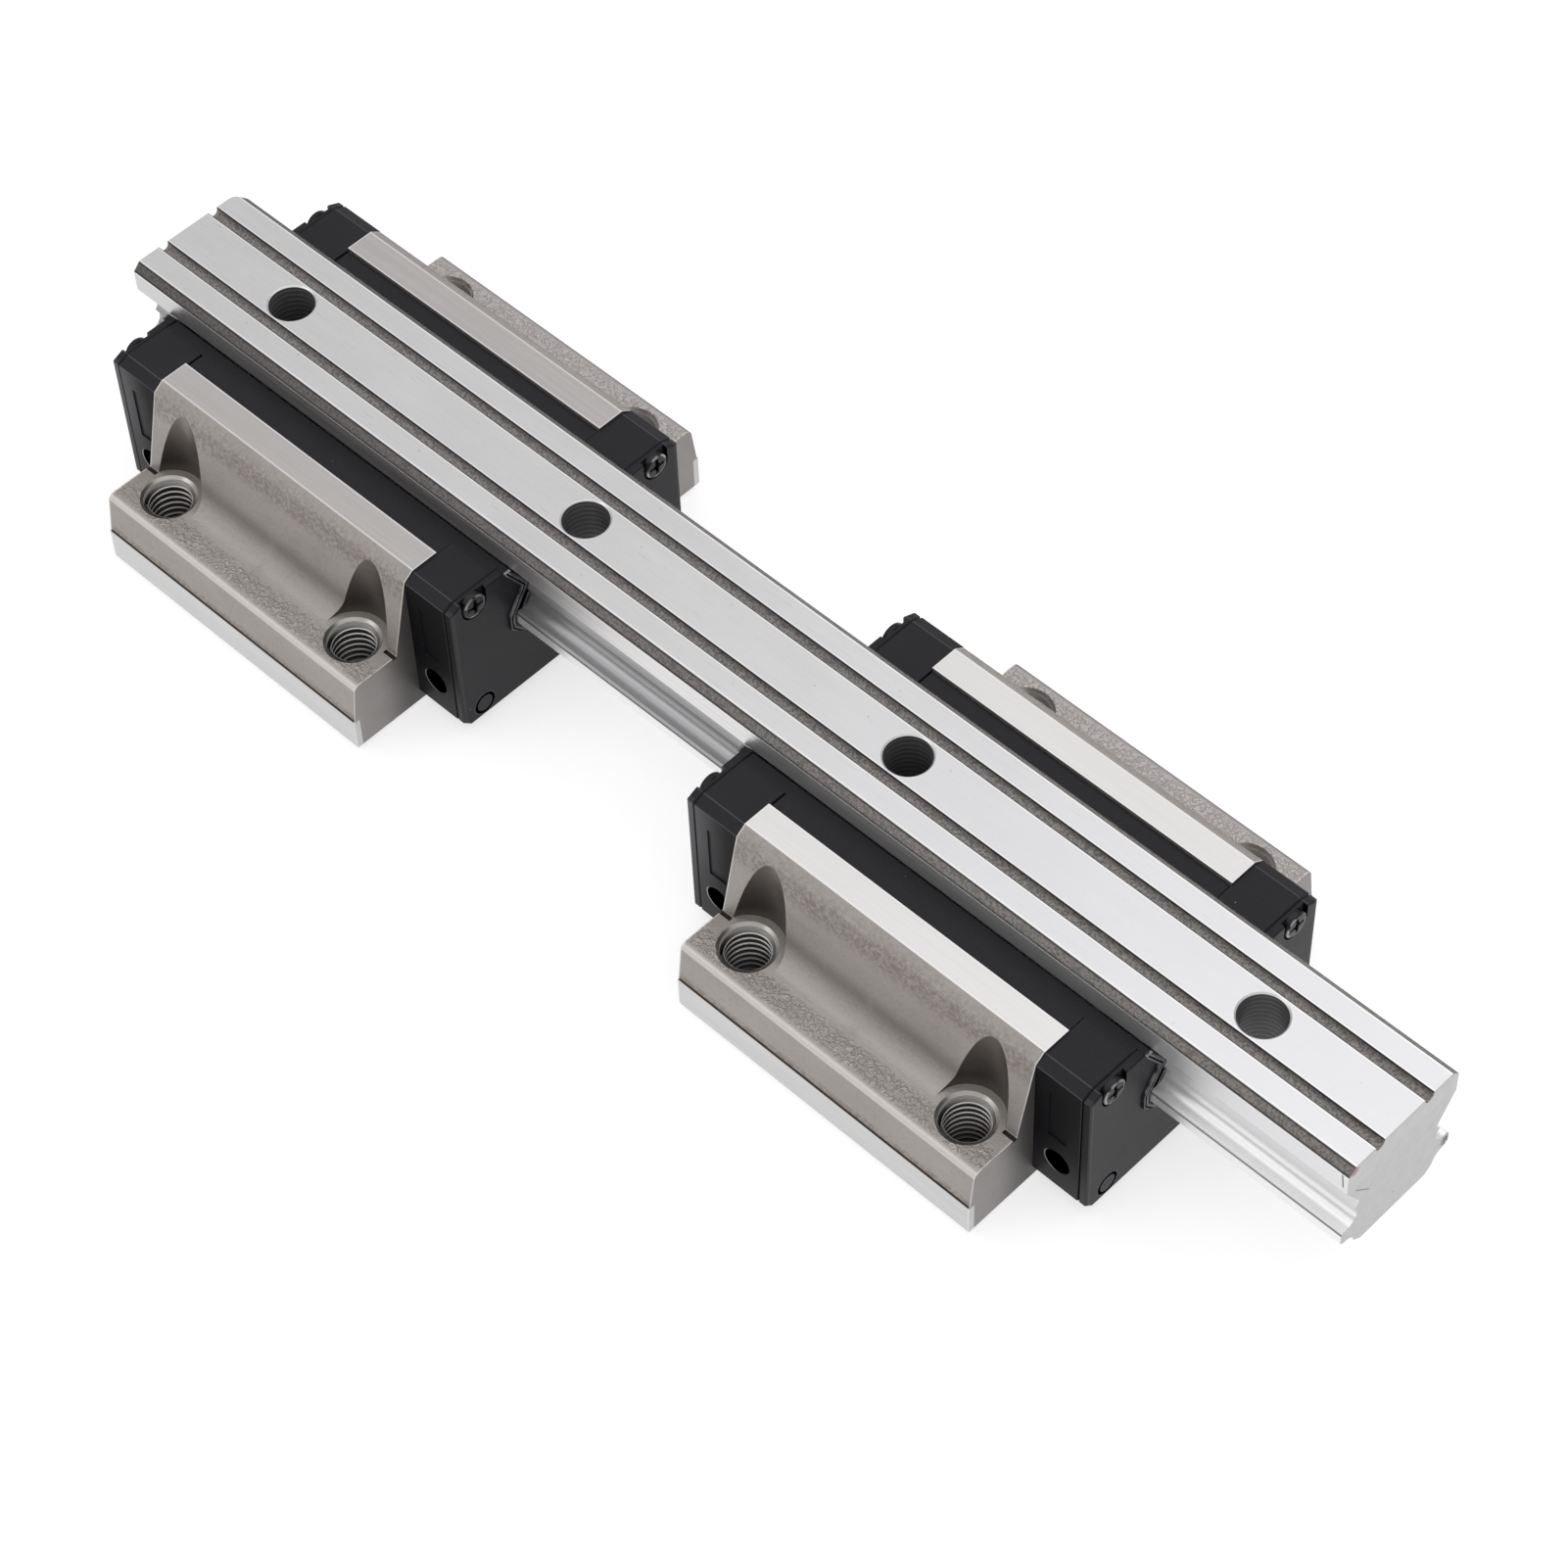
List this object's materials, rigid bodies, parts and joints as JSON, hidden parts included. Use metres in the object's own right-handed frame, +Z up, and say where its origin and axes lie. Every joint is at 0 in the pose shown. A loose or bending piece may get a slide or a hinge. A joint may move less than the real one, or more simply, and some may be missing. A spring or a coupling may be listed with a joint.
{
  "type": "linear guide",
  "caption": "Profile rail guide with flanged ball carriages, lying upside down on the mounting faces of the carriages with the base face of the rail up.",
  "frame": {"origin": "on the floor under the middle of the rail, in the plane of the carriages' mounting faces", "axes": "+X along the rail, +Y across it, +Z up from the carriages' mounting faces to the rail's base face"},
  "size_m": [0.3, 0.09, 0.042],
  "materials": {
    "rail_steel": "ground faces bright and satin, drawn grooves and chamfers dark and rough",
    "block_steel": "dull grey drawn skin, ground side bands and leg faces",
    "cap_plastic": "satin black moulded plastic",
    "seal_rubber": "satin black",
    "strip_plastic": "satin black"
  },
  "bodies": {
    "rail": {"rail": "rail_steel"},
    "carriage_a": {"carriage_a_block": "block_steel", "carriage_a_cap_left": "cap_plastic", "carriage_a_cap_right": "cap_plastic", "carriage_a_seal_left": "seal_rubber", "carriage_a_seal_right": "seal_rubber", "carriage_a_strip_near": "strip_plastic", "carriage_a_strip_far": "strip_plastic"},
    "carriage_b": {"carriage_b_block": "block_steel", "carriage_b_cap_left": "cap_plastic", "carriage_b_cap_right": "cap_plastic", "carriage_b_seal_left": "seal_rubber", "carriage_b_seal_right": "seal_rubber", "carriage_b_strip_near": "strip_plastic", "carriage_b_strip_far": "strip_plastic"}
  },
  "joints": [
    {"name": "carriage_a_slide", "type": "slide", "parent": "rail", "child": "carriage_a", "axis": [1, 0, 0], "range_m": [-0.009, 0.029]},
    {"name": "carriage_b_slide", "type": "slide", "parent": "rail", "child": "carriage_b", "axis": [1, 0, 0], "range_m": [-0.029, 0.041]}
  ]
}
